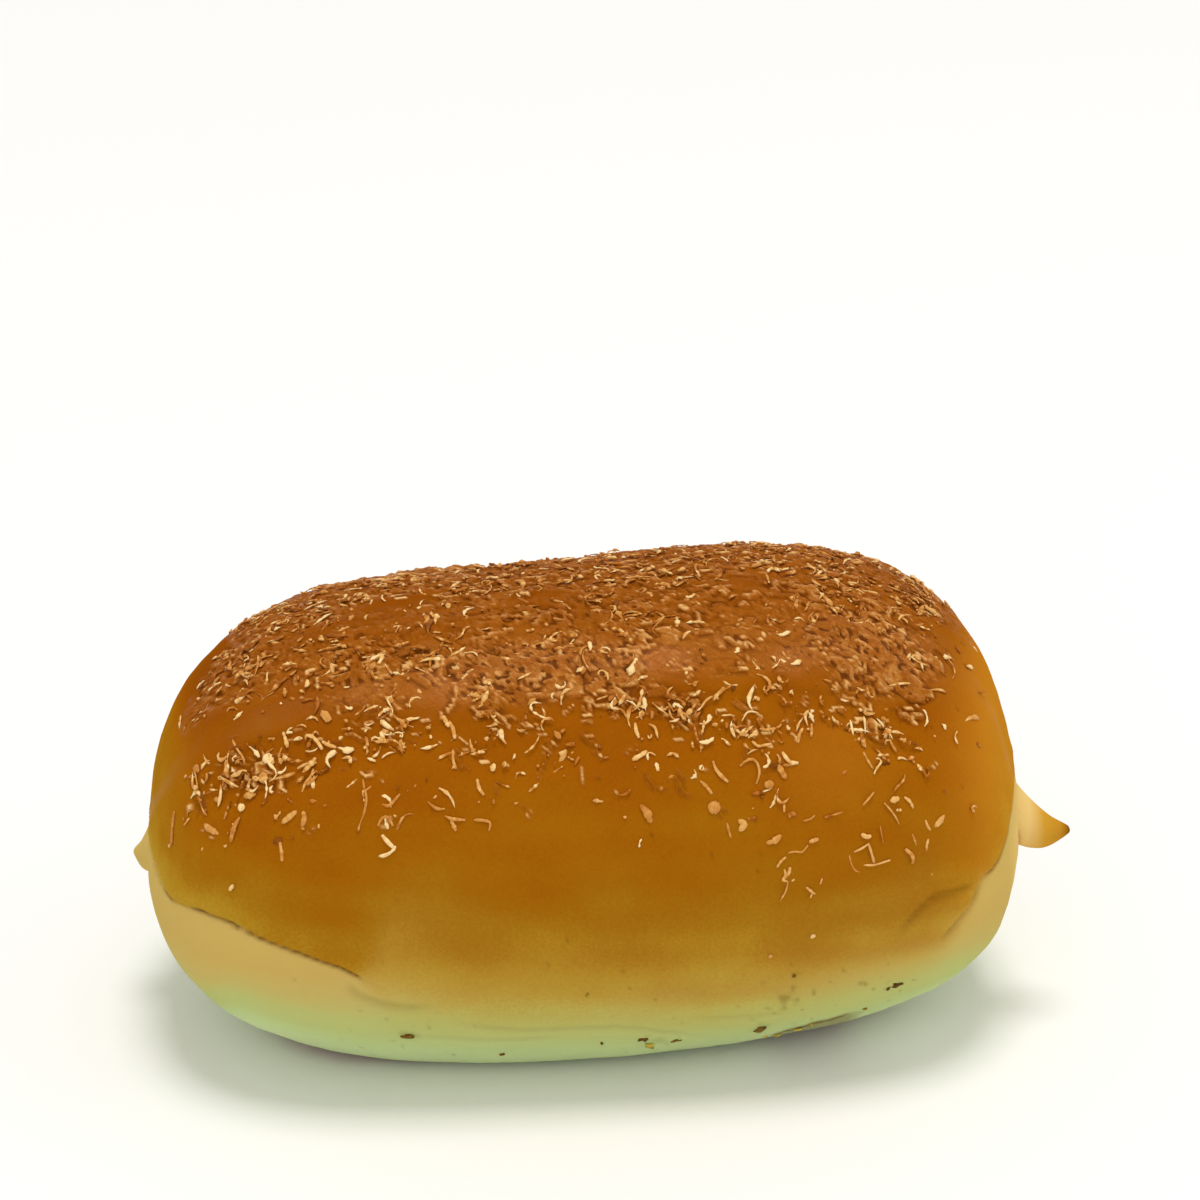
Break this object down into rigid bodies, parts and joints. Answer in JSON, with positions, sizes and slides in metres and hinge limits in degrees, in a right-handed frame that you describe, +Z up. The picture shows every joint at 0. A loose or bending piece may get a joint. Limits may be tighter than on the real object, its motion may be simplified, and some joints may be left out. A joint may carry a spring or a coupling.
{
  "type": "lotus seed bun",
  "caption": "Plump oval baked bun with a browned top, toasted shreds, chips and crumbs baked on, a flat pale base and a pinched point of dough at each end.",
  "frame": {"origin": "middle of the base, on the surface that the bun rests on, halfway between the ends of its two points", "axes": "+X along the bun towards its longer pinched point, +Y across it towards the back, +Z up"},
  "size_m": [0.1186, 0.0661, 0.0586],
  "materials": {
    "crust": "egg-washed baked crust, satin, golden brown on top and pale yellow-green towards the base",
    "topping": "toasted shreds and crumbs, matt to satin, straw to brown"
  },
  "bodies": {
    "root": {"bun": "crust"}
  },
  "joints": []
}
